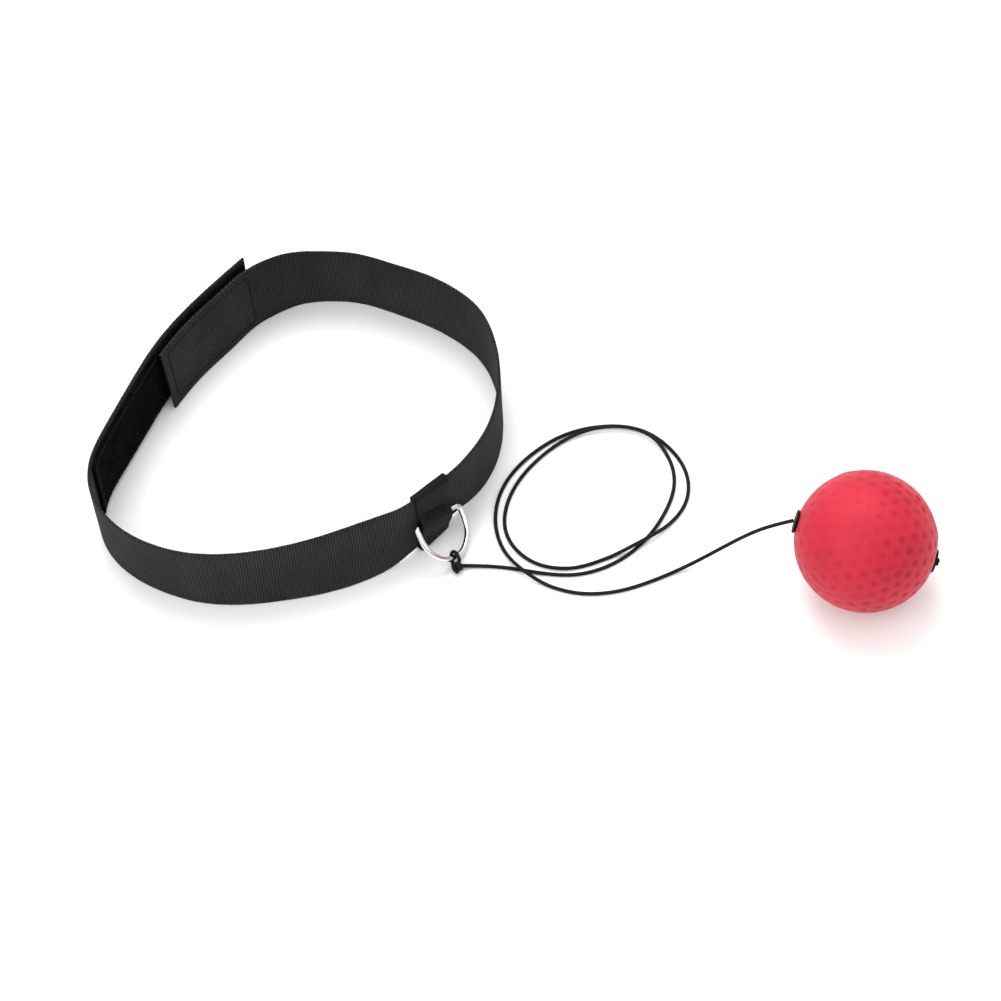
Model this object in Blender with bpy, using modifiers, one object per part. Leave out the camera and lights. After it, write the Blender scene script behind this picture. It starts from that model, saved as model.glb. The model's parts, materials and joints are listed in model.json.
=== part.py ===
"""Reflex ball headband: a webbing loop that closes with hook and loop, a D-ring held in a sewn keeper,
and a dimpled foam ball on an elastic tether cord.

Metres, +Z up.  The band stands on its lower edge at z = 0 and the ball lies in front of it on the right.
Every flat sewn piece follows the strap's plan, a curve that starts at the loop end's tip, runs round the
band and ends at the hook end's free edge.
"""
import math

import bmesh
import bpy
import numpy as np
from mathutils import Matrix, Vector

COLLECTION = "reflex_ball_headband"
GUIDES = "cutters"

GAP = 0.0003                      # between pieces that touch
MERGE = 0.00005

# Strap: 38 mm nylon webbing
STRAP_WIDTH = 0.038
STRAP_THICK = 0.0015
STRAP_SECTIONS = 150              # along the whole strap
# Outer face of the strap at mid-height: x, y, and how far its top edge leans out past its lower edge
STRAP_PLAN = [
    (-0.1115, 0.0960, 0.0010),
    (-0.1300, 0.0765, 0.0010),
    (-0.1490, 0.0520, 0.0010),
    (-0.1610, 0.0290, 0.0010),
    (-0.1710, 0.0080, 0.0005),
    (-0.1780, -0.0120, 0.0000),
    (-0.1760, -0.0290, 0.0005),
    (-0.1645, -0.0460, 0.0010),
    (-0.1500, -0.0560, 0.0010),
    (-0.1340, -0.0620, 0.0000),
    (-0.1150, -0.0640, -0.0010),
    (-0.0960, -0.0625, -0.0020),
    (-0.0780, -0.0590, -0.0035),
    (-0.0600, -0.0530, -0.0035),
    (-0.0450, -0.0455, -0.0010),
    (-0.0325, -0.0350, 0.0010),
    (-0.0195, -0.0230, 0.0025),
    (-0.0110, -0.0135, 0.0015),
    (-0.0035, 0.0005, 0.0005),
    (0.0000, 0.0155, 0.0000),
    (0.0005, 0.0300, 0.0000),
    (-0.0015, 0.0450, 0.0000),
    (-0.0075, 0.0600, 0.0005),
    (-0.0165, 0.0705, 0.0005),
    (-0.0290, 0.0800, 0.0000),
    (-0.0440, 0.0880, -0.0010),
    (-0.0610, 0.0955, -0.0015),
    (-0.0770, 0.0980, -0.0015),
    (-0.0900, 0.0975, 0.0000),
    (-0.1000, 0.0940, 0.0015),
    (-0.1080, 0.0895, 0.0020),
    (-0.1220, 0.0755, 0.0025),
    (-0.1360, 0.0600, 0.0025),
    (-0.1475, 0.0435, 0.0025),
]

# Closure, measured along the strap from each end
FLAP_LENGTH = 0.062               # hook end that peels open, from its free edge
LOOP_PATCH_LENGTH = 0.128
LOOP_PATCH_THICK = 0.0014
HOOK_PATCH_THICK = 0.0011
PATCH_INSET = 0.0022              # patch edge to strap edge
STITCH_INSET = 0.0018             # stitch line to patch edge
THREAD = 0.0006                   # diameter of the sewing thread

# D-ring: 25 mm inside, 2.5 mm wire
RING_WIRE = 0.00125               # radius
RING_HALF = 0.01375               # half the width, wire centre to bar centre
RING_CORNER = 0.0024              # bend between the bar and an arm
RING_ARM = 0.005                  # bar centre to where the bow's curve starts
RING_DEPTH = 0.0194               # bar centre to the middle of the bow
RING_AT = (-0.0318, -0.0334)      # place on the strap behind the bar's middle
RING_BAR_Z = 0.0158
RING_ROLL = math.radians(21.6)    # the bar drops towards its far end
RING_SWING = math.radians(49.4)   # the bow swings out from straight down
RING_YAW = math.radians(1.2)      # the bar's turn in plan from the strap's own direction

# Keeper: a narrower webbing folded round the strap and over the ring's bar.  Its edges are measured
# along the strap from the bar's middle; the far edge runs in towards the bottom.
KEEPER_NEAR = -0.0106
KEEPER_FAR_TOP = 0.0078
KEEPER_FAR_BOTTOM = 0.0058
KEEPER_THICK = 0.0012
KEEPER_LIFT = 0.0019              # the strap's lower edge is drawn up inside the keeper
KEEPER_DIP = 0.0014               # and its upper edge is drawn down
KEEPER_POCKET = 0.0036            # room between strap and keeper at the bar
KEEPER_HEM = 0.0016               # room between strap and keeper at the lower fold
KEEPER_BOTTOM = 0.0002            # lower edge above the floor
STITCH_ABOVE_BAR = (0.0062, 0.0042)
STITCH_FROM_NEAR = 0.0025         # the rows of stitching stop short of the keeper's edges
STITCH_FROM_FAR = 0.0012
STITCH_STANDOFF = 0.0002          # room over the keeper's folded front

# Ball on its cord
BALL_R = 0.030
BALL_CENTRE = Vector((0.1488, -0.0705, 0.0301))
BORE_AXIS = Vector((0.943, -0.275, -0.187)).normalized()
BORE_R = 0.0016
WASHER_R = 0.0050
WASHER_THICK = 0.0010
FAR_FLAT = 0.0009                 # how much the far side of the ball is sunk round its washer
NEAR_FLAT = 0.0004

# Tether: 1.7 mm braided elastic.  It lies on the floor in two loops, one over the other at the back,
# passes over itself twice on the right and in front, and rises to the ball.
CORD_R = 0.00085
CORD_POINTS = 80                  # along the whole cord
KNOT_R = 0.0022
KNOT_OFFSET = Vector((0.0006, -0.0046, -0.0008))
KNOT_TAIL = Vector((-0.35, -0.75, -0.30)).normalized()
KNOT_TAIL_LENGTH = 0.0030
STOP_R = 0.0018
STOP_FLATTEN = 0.4                # the stop knot is pulled flat against its washer
FLOOR_Z = CORD_R
CORD_ROUTE = [
    (-0.0210, -0.0520, 0.0016),
    (-0.0070, -0.0530, FLOOR_Z),
    (0.0100, -0.0570, FLOOR_Z),
    (0.0270, -0.0595, FLOOR_Z),
    (0.0430, -0.0555, FLOOR_Z),
    (0.0570, -0.0455, FLOOR_Z),
    (0.0675, -0.0315, FLOOR_Z),
    (0.0735, -0.0150, FLOOR_Z),
    (0.0715, 0.0000, 0.0010),
    (0.0665, 0.0080, 0.0026),
    (0.0580, 0.0140, 0.0028),
    (0.0450, 0.0160, 0.0026),
    (0.0300, 0.0125, 0.0014),
    (0.0145, 0.0015, FLOOR_Z),
    (0.0015, -0.0170, FLOOR_Z),
    (-0.0010, -0.0365, FLOOR_Z),
    (0.0100, -0.0520, FLOOR_Z),
    (0.0270, -0.0560, FLOOR_Z),
    (0.0430, -0.0515, FLOOR_Z),
    (0.0570, -0.0458, 0.0032),
    (0.0680, -0.0380, 0.0014),
    (0.0770, -0.0270, FLOOR_Z),
    (0.0795, -0.0130, FLOOR_Z),
    (0.0730, 0.0035, FLOOR_Z),
    (0.0605, 0.0145, FLOOR_Z),
    (0.0440, 0.0175, FLOOR_Z),
    (0.0270, 0.0140, FLOOR_Z),
    (0.0120, 0.0045, FLOOR_Z),
    (-0.0005, -0.0105, FLOOR_Z),
    (-0.0055, -0.0290, FLOOR_Z),
    (-0.0025, -0.0455, 0.0015),
    (0.0040, -0.0560, 0.0032),
    (0.0140, -0.0635, 0.0012),
    (0.0280, -0.0690, FLOOR_Z),
    (0.0460, -0.0690, FLOOR_Z),
    (0.0640, -0.0635, FLOOR_Z),
    (0.0790, -0.0585, 0.0037),
    (0.0910, -0.0575, 0.0125),
    (0.1050, -0.0600, 0.0275),
    (0.1190, -0.0618, 0.0360),
]


# ---------------------------------------------------------------- scene and materials

def clear_scene():
    for obj in list(bpy.data.objects):
        bpy.data.objects.remove(obj, do_unlink=True)


def new_collection(name):
    collection = bpy.data.collections.new(name)
    bpy.context.scene.collection.children.link(collection)
    return collection


def material(name, colour, roughness, metallic=0.0):
    mat = bpy.data.materials.new(name)
    mat.use_nodes = True
    shader = mat.node_tree.nodes["Principled BSDF"]
    shader.inputs["Base Color"].default_value = (*colour, 1.0)
    shader.inputs["Roughness"].default_value = roughness
    shader.inputs["Metallic"].default_value = metallic
    return mat


def make_materials():
    return {
        "webbing": material("black_webbing", (0.022, 0.022, 0.024), 0.78),
        "keeper": material("keeper_webbing", (0.015, 0.015, 0.017), 0.82),
        "loop": material("loop_pile", (0.006, 0.006, 0.007), 0.95),
        "hook": material("hook_tape", (0.012, 0.012, 0.013), 0.6),
        "thread": material("black_thread", (0.016, 0.016, 0.018), 0.6),
        "chrome": material("plated_steel", (0.80, 0.80, 0.79), 0.12, 1.0),
        "cord": material("elastic_cord", (0.018, 0.018, 0.018), 0.7),
        "ball": material("red_foam_rubber", (0.78, 0.040, 0.070), 0.5),
        "washer": material("black_washer", (0.02, 0.02, 0.02), 0.4),
    }


def move_to(obj, collection):
    for home in list(obj.users_collection):
        home.objects.unlink(obj)
    collection.objects.link(obj)


def place(mesh, name, mat, collection):
    obj = bpy.data.objects.new(name, mesh)
    collection.objects.link(obj)
    mesh.materials.clear()
    mesh.materials.append(mat)
    return obj


# ---------------------------------------------------------------- curves

def spline_through(points):
    """Dense samples of the natural cubic spline through the points."""
    pts = np.array(points, float)
    chord = np.linalg.norm(np.diff(pts[:, :2], axis=0), axis=1)
    count = len(pts)
    system = np.eye(count)
    right = np.zeros_like(pts)
    for i in range(1, count - 1):
        system[i, i - 1:i + 2] = (chord[i - 1], 2 * (chord[i - 1] + chord[i]), chord[i])
        right[i] = 6 * ((pts[i + 1] - pts[i]) / chord[i] - (pts[i] - pts[i - 1]) / chord[i - 1])
    bend = np.linalg.solve(system, right)
    dense = []
    for i in range(count - 1):
        for part in np.linspace(0, chord[i], 24, endpoint=(i == count - 2)):
            rest = chord[i] - part
            cubic = (bend[i] * rest ** 3 + bend[i + 1] * part ** 3) / (6 * chord[i])
            line = (pts[i] / chord[i] - bend[i] * chord[i] / 6) * rest
            line += (pts[i + 1] / chord[i] - bend[i + 1] * chord[i] / 6) * part
            dense.append(cubic + line)
    return np.array(dense)


def spread(dense, axes, count):
    """The curve's length, and its samples at even distances measured over the first axes."""
    steps = np.linalg.norm(np.diff(dense[:, :axes], axis=0), axis=1)
    along = np.concatenate([[0.0], np.cumsum(steps)])
    stations = np.linspace(0, along[-1], count)
    return along[-1], np.stack([np.interp(stations, along, column) for column in dense.T], 1)


def smoothstep(value):
    value = min(max(value, 0.0), 1.0)
    return value * value * (3 - 2 * value)


class StrapPath:
    """The strap's plan: a place on it is a distance along the band, a height and an outward offset."""

    def __init__(self, plan):
        self.length, self.samples = spread(spline_through(plan), 2, 1200)
        slope = np.gradient(self.samples[:, :2], axis=0)
        slope /= np.linalg.norm(slope, axis=1)[:, None]
        self.tangents = slope
        self.stations = np.linspace(0, self.length, len(self.samples))

    def at(self, table, along):
        return [float(np.interp(along, self.stations, column)) for column in table.T]

    def frame(self, along):
        x, y, lean = self.at(self.samples, along)
        tx, ty = self.at(self.tangents, along)
        tangent = Vector((tx, ty, 0)).normalized()
        return Vector((x, y, 0)), tangent, Vector((tangent.y, -tangent.x, 0)), lean

    def point(self, along, height, offset):
        base, _, outward, lean = self.frame(along)
        place_out = offset + lean * (height / STRAP_WIDTH - 0.5)
        return base + outward * place_out + Vector((0, 0, height))

    def nearest(self, x, y):
        away = np.hypot(self.samples[:, 0] - x, self.samples[:, 1] - y)
        return float(self.stations[int(np.argmin(away))])


def squeeze(along, ring_at):
    """1 inside the keeper, falling to 0 where the strap has its full width again."""
    middle = ring_at + (KEEPER_NEAR + KEEPER_FAR_TOP) / 2
    half = (KEEPER_FAR_TOP - KEEPER_NEAR) / 2
    return 1 - smoothstep((abs(along - middle) - half) / 0.020)


# ---------------------------------------------------------------- flat sewn pieces

def grid_mesh(name, columns, rows, where):
    """An open grid whose corner (u, v), both 0 to 1, lies at where(u, v)."""
    bm = bmesh.new()
    bmesh.ops.create_grid(bm, x_segments=columns, y_segments=rows, size=1.0)
    for vert in bm.verts:
        vert.co = where((vert.co.x + 1) / 2, (vert.co.y + 1) / 2)
    bmesh.ops.remove_doubles(bm, verts=bm.verts, dist=MERGE)
    mesh = bpy.data.meshes.new(name)
    bm.to_mesh(mesh)
    bm.free()
    return mesh


def solidify(obj, thickness):
    shell = obj.modifiers.new("thickness", "SOLIDIFY")
    shell.thickness = thickness
    shell.offset = 0.0
    shell.use_even_offset = True


def sewn_layer(name, mat, collection, path, reach, heights, offset, thickness, columns):
    """A flat layer that follows the strap; heights is a function of the distance along the band."""
    start, end = reach

    def where(u, v):
        along = start + (end - start) * u
        low, high = heights(along)
        return path.point(along, low + (high - low) * v, offset)

    obj = place(grid_mesh(name, columns, 1, where), name, mat, collection)
    solidify(obj, thickness)
    return obj


def thread_curve(name, points, closed, mat, collection):
    """Sewing thread laid through the points."""
    curve = bpy.data.curves.new(name, "CURVE")
    curve.dimensions = "3D"
    curve.bevel_depth = THREAD / 2
    curve.bevel_resolution = 1
    curve.use_fill_caps = True
    spline = curve.splines.new("POLY")
    spline.points.add(len(points) - 1)
    for knot, point in zip(spline.points, points):
        knot.co = (*point, 1.0)
    spline.use_cyclic_u = closed
    obj = bpy.data.objects.new(name, curve)
    collection.objects.link(obj)
    curve.materials.append(mat)
    return obj


def box_stitch(name, mat, collection, path, reach, heights, offset, columns):
    """A rectangle of stitching on the strap, its corners cut so the thread doesn't fold."""
    start, end = reach
    low, high = heights
    corner = 0.0008
    runs = np.linspace(start + corner, end - corner, columns)
    outline = [(along, low) for along in runs]
    outline += [(end, height) for height in np.linspace(low + corner, high - corner, 6)]
    outline += [(along, high) for along in runs[::-1]]
    outline += [(start, height) for height in np.linspace(high - corner, low + corner, 6)]
    points = [path.point(along, height, offset) for along, height in outline]
    return thread_curve(name, points, True, mat, collection)


def make_strap(path, ring_at, root, mats, collection):
    def heights(along):
        drawn = squeeze(along, ring_at)
        return KEEPER_LIFT * drawn, STRAP_WIDTH - KEEPER_DIP * drawn

    middle = -STRAP_THICK / 2
    flap_columns = round(STRAP_SECTIONS * FLAP_LENGTH / path.length)
    sewn_layer("headband_strap", mats["webbing"], collection, path, (0.0, root - GAP / 2), heights,
               middle, STRAP_THICK, STRAP_SECTIONS - flap_columns)
    sewn_layer("hook_end_strap", mats["webbing"], collection, path, (root + GAP / 2, path.length), heights,
               middle, STRAP_THICK, flap_columns)


def make_patches(path, root, mats, collection):
    def heights(_):
        return PATCH_INSET, STRAP_WIDTH - PATCH_INSET

    inside = -STRAP_THICK - GAP - LOOP_PATCH_THICK / 2
    loop_reach = (PATCH_INSET, PATCH_INSET + LOOP_PATCH_LENGTH)
    sewn_layer("loop_patch", mats["loop"], collection, path, loop_reach, heights,
               inside, LOOP_PATCH_THICK, 30)
    outside = GAP + HOOK_PATCH_THICK / 2
    hook_reach = (root + PATCH_INSET, path.length - PATCH_INSET)
    sewn_layer("hook_patch", mats["hook"], collection, path, hook_reach, heights,
               outside, HOOK_PATCH_THICK, 14)

    inset = PATCH_INSET + STITCH_INSET
    rows = (inset, STRAP_WIDTH - inset)
    above = GAP + THREAD / 2
    box_stitch("loop_patch_stitching", mats["thread"], collection, path,
               (loop_reach[0] + STITCH_INSET, loop_reach[1] - STITCH_INSET), rows, above, 26)
    box_stitch("hook_patch_stitching", mats["thread"], collection, path,
               (hook_reach[0] + STITCH_INSET, hook_reach[1] - STITCH_INSET), rows,
               -STRAP_THICK - above, 14)


# ---------------------------------------------------------------- ring and keeper

def keeper_front(across, height):
    """How far the keeper's front layer stands off the strap; across is measured from the bar's middle."""
    bar_height = RING_BAR_Z - math.tan(RING_ROLL) * across
    above = (height - bar_height) * math.cos(RING_ROLL)
    if above > 0:
        return GAP + (KEEPER_POCKET - GAP) * smoothstep((0.0072 - above) / 0.0057)
    return KEEPER_POCKET + (KEEPER_HEM - KEEPER_POCKET) * smoothstep(-above / 0.010)


def keeper_section(across):
    """The keeper's outline in section, half-way through its thickness: (offset, height) pairs."""
    half = KEEPER_THICK / 2
    top = STRAP_WIDTH - KEEPER_DIP + GAP + half
    bottom = KEEPER_BOTTOM + half
    back = -STRAP_THICK - GAP - half
    fold = 0.0009
    section = [(keeper_front(across, height) + half, height)
               for height in np.linspace(top - fold, bottom + fold, 18)]
    hem = section[-1][0]
    section += [(offset, bottom) for offset in np.linspace(hem - fold, back + fold, 4)]
    section += [(back, height) for height in np.linspace(bottom + fold, top - fold, 4)]
    section += [(offset, top) for offset in np.linspace(back + fold, section[0][0] - fold, 3)]
    return section


def make_keeper(path, ring_at, mats, collection):
    columns = 8
    rows = len(keeper_section(0.0))

    def where(u, v):
        row = round(v * rows) % rows
        height = keeper_section(0.0)[row][1]
        far = KEEPER_FAR_BOTTOM + (KEEPER_FAR_TOP - KEEPER_FAR_BOTTOM) * height / STRAP_WIDTH
        across = KEEPER_NEAR + (far - KEEPER_NEAR) * u
        offset = keeper_section(across)[row][0]
        return path.point(ring_at + across, height, offset)

    keeper = place(grid_mesh("ring_keeper", columns, rows, where), "ring_keeper", mats["keeper"], collection)
    solidify(keeper, KEEPER_THICK)

    span = np.linspace(KEEPER_NEAR + STITCH_FROM_NEAR, KEEPER_FAR_BOTTOM - STITCH_FROM_FAR, 9)
    front = KEEPER_THICK + STITCH_STANDOFF + GAP + THREAD / 2
    for name, above in zip(("keeper_stitch_upper", "keeper_stitch_lower"), STITCH_ABOVE_BAR):
        points = []
        for across in span:
            height = RING_BAR_Z - math.tan(RING_ROLL) * across + above / math.cos(RING_ROLL)
            points.append(path.point(ring_at + across, height, keeper_front(across, height) + front))
        thread_curve(name, points, False, mats["thread"], collection)


def ring_frame(path, ring_at):
    """The ring's place: x along its bar, y towards the bow, z out of its plane."""
    _, tangent, outward, _ = path.frame(ring_at)
    middle = path.point(ring_at, RING_BAR_Z, GAP + RING_WIRE)
    up = Vector((0, 0, 1))
    yaw = Matrix.Rotation(RING_YAW, 3, "Z")
    tangent = yaw @ tangent
    outward = yaw @ outward
    bar = tangent * math.cos(RING_ROLL) - up * math.sin(RING_ROLL)
    down = -up * math.cos(RING_ROLL) - tangent * math.sin(RING_ROLL)
    bow = down * math.cos(RING_SWING) + outward * math.sin(RING_SWING)
    turn = Matrix((bar, bow, bar.cross(bow))).transposed()
    return Matrix.Translation(middle) @ turn.to_4x4()


def ring_outline():
    corner = RING_CORNER
    outline = [(-RING_HALF + corner, 0.0), (0.0, 0.0)]
    for turn in np.linspace(-90, 0, 5):
        angle = math.radians(turn)
        outline.append((RING_HALF - corner + corner * math.cos(angle), corner + corner * math.sin(angle)))
    for turn in np.linspace(0, 180, 29):
        angle = math.radians(turn)
        outline.append((RING_HALF * math.cos(angle), RING_ARM + (RING_DEPTH - RING_ARM) * math.sin(angle)))
    for turn in np.linspace(180, 270, 5)[:-1]:
        angle = math.radians(turn)
        outline.append((-RING_HALF + corner + corner * math.cos(angle), corner + corner * math.sin(angle)))
    return outline


def make_ring(frame, mats, collection):
    curve = bpy.data.curves.new("d_ring", "CURVE")
    curve.dimensions = "3D"
    curve.bevel_depth = RING_WIRE
    curve.bevel_resolution = 3
    outline = ring_outline()
    spline = curve.splines.new("POLY")
    spline.points.add(len(outline) - 1)
    for knot, (x, y) in zip(spline.points, outline):
        knot.co = (x, y, 0.0, 1.0)
    spline.use_cyclic_u = True
    ring = bpy.data.objects.new("d_ring", curve)
    curve.materials.append(mats["chrome"])
    ring.matrix_world = frame
    collection.objects.link(ring)


# ---------------------------------------------------------------- tether

def union(obj, others, cutters):
    for other in others:
        move_to(other, cutters)
        other.hide_render = True
        other.display_type = "WIRE"
        join = obj.modifiers.new("join", "BOOLEAN")
        join.operation = "UNION"
        join.object = other


def make_knot(frame, mats, collection, cutters):
    """The tether's tie: a turn round the ring's bow, the knot's body and its short tail."""
    bow = frame @ Vector((0, RING_DEPTH, 0))
    centre = bow + KNOT_OFFSET
    bpy.ops.mesh.primitive_torus_add(major_radius=RING_WIRE + GAP + CORD_R + MERGE, minor_radius=CORD_R,
                                     major_segments=24, minor_segments=10)
    turn = bpy.context.object
    bar = frame.to_3x3() @ Vector((1, 0, 0))
    turn.matrix_world = Matrix.Translation(bow) @ bar.to_track_quat("Z", "Y").to_matrix().to_4x4()

    bpy.ops.mesh.primitive_uv_sphere_add(segments=16, ring_count=10, radius=KNOT_R, location=centre)
    body = bpy.context.object
    body.name = "knot_body"
    bpy.ops.mesh.primitive_cylinder_add(vertices=10, radius=CORD_R, depth=KNOT_TAIL_LENGTH,
                                        location=centre + KNOT_TAIL * KNOT_TAIL_LENGTH / 2)
    tail = bpy.context.object
    tail.name = "knot_tail"
    tail.rotation_mode = "QUATERNION"
    tail.rotation_quaternion = KNOT_TAIL.to_track_quat("Z", "Y")

    turn.name = "tether_knot"
    move_to(turn, collection)
    turn.data.materials.append(mats["cord"])
    union(turn, [body, tail], cutters)


def make_cord(mats, collection):
    _, route = spread(spline_through(CORD_ROUTE), 3, CORD_POINTS)
    route[:, 2] = np.maximum(route[:, 2], FLOOR_Z)
    curve = bpy.data.curves.new("tether_cord", "CURVE")
    curve.dimensions = "3D"
    curve.bevel_depth = CORD_R
    curve.bevel_resolution = 2
    curve.use_fill_caps = True
    spline = curve.splines.new("POLY")
    spline.points.add(len(route) - 1)
    for knot, point in zip(spline.points, route):
        knot.co = (*point, 1.0)
    cord = bpy.data.objects.new("tether_cord", curve)
    curve.materials.append(mats["cord"])
    collection.objects.link(cord)


# ---------------------------------------------------------------- ball

def turned(name, profile, steps, mat, collection):
    """A closed profile of (radius, height) pairs turned about its own Z."""
    mesh = bpy.data.meshes.new(name)
    edges = [(i, (i + 1) % len(profile)) for i in range(len(profile))]
    mesh.from_pydata([(radius, 0, height) for radius, height in profile], edges, [])
    obj = place(mesh, name, mat, collection)
    screw = obj.modifiers.new("turn", "SCREW")
    screw.steps = steps
    screw.render_steps = steps
    screw.use_merge_vertices = True
    screw.merge_threshold = MERGE
    screw.use_smooth_shade = True
    return obj


def ring_profile(inner, outer, low, high):
    return [(inner, high), (outer, high), (outer, low), (inner, low)]


def make_ball(mats, collection):
    """Ball, washers, the tether's run through the bore and its stop knot, all on the bore's axis."""
    stand = bpy.data.objects.new("bore_axis", None)
    collection.objects.link(stand)
    along_bore = (-BORE_AXIS).to_track_quat("Z", "Y").to_matrix().to_4x4()
    stand.matrix_world = Matrix.Translation(BALL_CENTRE) @ along_bore

    near = BALL_R - NEAR_FLAT
    far = BALL_R - FAR_FLAT
    first = math.acos(near / BALL_R)
    last = math.pi - math.acos(far / BALL_R)
    outer = [(BALL_R * math.sin(angle), BALL_R * math.cos(angle)) for angle in np.linspace(first, last, 23)]
    bore = [(BORE_R, -far), (BORE_R, 0.0), (BORE_R, near)]
    pieces = [turned("ball", outer + bore, 40, mats["ball"], collection)]

    hole = CORD_R + GAP
    near_seat = near + GAP
    far_seat = -far - GAP
    pieces.append(turned("entry_washer", ring_profile(hole, WASHER_R, near_seat, near_seat + WASHER_THICK),
                         28, mats["washer"], collection))
    pieces.append(turned("far_washer", ring_profile(hole, WASHER_R, far_seat - WASHER_THICK, far_seat),
                         28, mats["washer"], collection))

    knot_top = far_seat - WASHER_THICK - GAP
    top = near_seat + WASHER_THICK - 0.0001
    bpy.ops.mesh.primitive_cylinder_add(vertices=10, radius=CORD_R, depth=top - knot_top - GAP,
                                        location=(0, 0, (top + knot_top + GAP) / 2))
    run = bpy.context.object
    run.name = "ball_cord"
    bpy.ops.mesh.primitive_uv_sphere_add(segments=14, ring_count=8, radius=STOP_R)
    knot = bpy.context.object
    knot.name = "stop_knot"
    knot.location = (0, 0, knot_top - STOP_R * STOP_FLATTEN)
    knot.scale = (1, 1, STOP_FLATTEN)
    for obj in (run, knot):
        move_to(obj, collection)
        obj.data.materials.append(mats["cord"])
        pieces.append(obj)
    for obj in pieces:
        obj.parent = stand


def main():
    clear_scene()
    collection = new_collection(COLLECTION)
    cutters = new_collection(GUIDES)
    mats = make_materials()
    path = StrapPath(STRAP_PLAN)
    root = path.length - FLAP_LENGTH
    ring_at = path.nearest(*RING_AT)
    make_strap(path, ring_at, root, mats, collection)
    make_patches(path, root, mats, collection)
    make_keeper(path, ring_at, mats, collection)
    frame = ring_frame(path, ring_at)
    make_ring(frame, mats, collection)
    make_knot(frame, mats, collection, cutters)
    make_cord(mats, collection)
    make_ball(mats, collection)


main()
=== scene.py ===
"""Looks of the reflex ball headband: ribbed webbing band with a hook-and-loop closure, chrome D-ring in
its keeper, braided elastic tether and dimpled foam ball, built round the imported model.

Metres throughout.  A place on the band is a distance along the strap, a height above its lower edge and
an offset outwards from its outer face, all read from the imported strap.
"""

import json
import math

import bmesh
import bpy
import numpy as np
from mathutils import Matrix, Vector


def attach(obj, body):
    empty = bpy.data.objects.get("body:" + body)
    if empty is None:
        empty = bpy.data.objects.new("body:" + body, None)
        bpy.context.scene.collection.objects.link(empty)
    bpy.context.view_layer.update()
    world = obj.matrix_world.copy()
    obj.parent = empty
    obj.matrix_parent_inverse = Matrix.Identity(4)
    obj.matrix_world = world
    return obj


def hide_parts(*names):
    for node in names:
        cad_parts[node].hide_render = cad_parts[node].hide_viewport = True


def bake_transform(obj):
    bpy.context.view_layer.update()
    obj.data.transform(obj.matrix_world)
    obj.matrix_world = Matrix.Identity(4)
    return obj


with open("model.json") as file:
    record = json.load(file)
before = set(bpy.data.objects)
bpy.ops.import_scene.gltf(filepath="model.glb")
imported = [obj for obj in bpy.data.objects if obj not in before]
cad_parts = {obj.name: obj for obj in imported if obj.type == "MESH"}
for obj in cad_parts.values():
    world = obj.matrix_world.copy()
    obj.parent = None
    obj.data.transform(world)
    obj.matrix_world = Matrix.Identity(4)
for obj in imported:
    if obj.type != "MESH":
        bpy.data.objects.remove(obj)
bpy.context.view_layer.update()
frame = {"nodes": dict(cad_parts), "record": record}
RECORD = frame["record"]
JOINTS = {joint["name"]: joint for joint in RECORD["behaviour"]["joints"]}

MM = 0.001
CM = 100.0                        # metres to the centimetres that the surface coordinates use
RNG = np.random.default_rng(7)

# Camera
CAMERA_PLACE = (-0.0028, -0.7550, 1.0841)
CAMERA_LENS = 107.9               # millimetres, on a 36 mm sensor
CAMERA_SENSOR = 36
CAMERA_TILT = math.radians(34.2)  # up from straight down
CAMERA_ROLL = math.radians(-3.46)

# Webbing
STRAP_WIDTH = 38 * MM
STRAP_THICK = 1.5 * MM
RIB_PITCH = 1.2 * MM
RIB_DEPTH = 0.17 * MM
COLUMNS_A_RIB = 4
RIPPLE = 0.05 * MM                # slow unevenness of the faces
END_REACH = 0.6 * MM              # the strap's own ends are thinned over this length
END_THICKNESS = 0.62              # to this share of its thickness
CUT_BEFORE_HINGE = 12 * MM        # where the band's webbing hands over to the flap's
BEND_REACH = 10 * MM              # points this far on each side of the flap's hinge are found but not used

# Sewn patches
PILE_FIBRES = 9000
HOOK_PITCH = 1.4 * MM
HOOK_STAND = 0.50 * MM            # how far the hooks stand off their tape
PATCH_BEVEL = 0.3 * MM
PATCH_BEVEL_REACH = 0.5 * MM
STITCH_PITCH = 2.8 * MM
THREAD_R = 0.28 * MM
STITCH_INSET = 1.8 * MM
KEEPER_STITCH_PITCH = 2.2 * MM
KEEPER_VOXEL = 0.32 * MM
KEEPER_RIB = 0.7 * MM
KEEPER_RIB_DEPTH = 0.05 * MM
KEEPER_REACH = 20 * MM            # the keeper lies within this distance of the ring along the strap

# Ring
RING_WIRE = 1.25 * MM
RING_HALF = 13.75 * MM
RING_ARM = 5.0 * MM
RING_DEPTH = 19.4 * MM
RING_CORNER = 2.4 * MM

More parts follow.
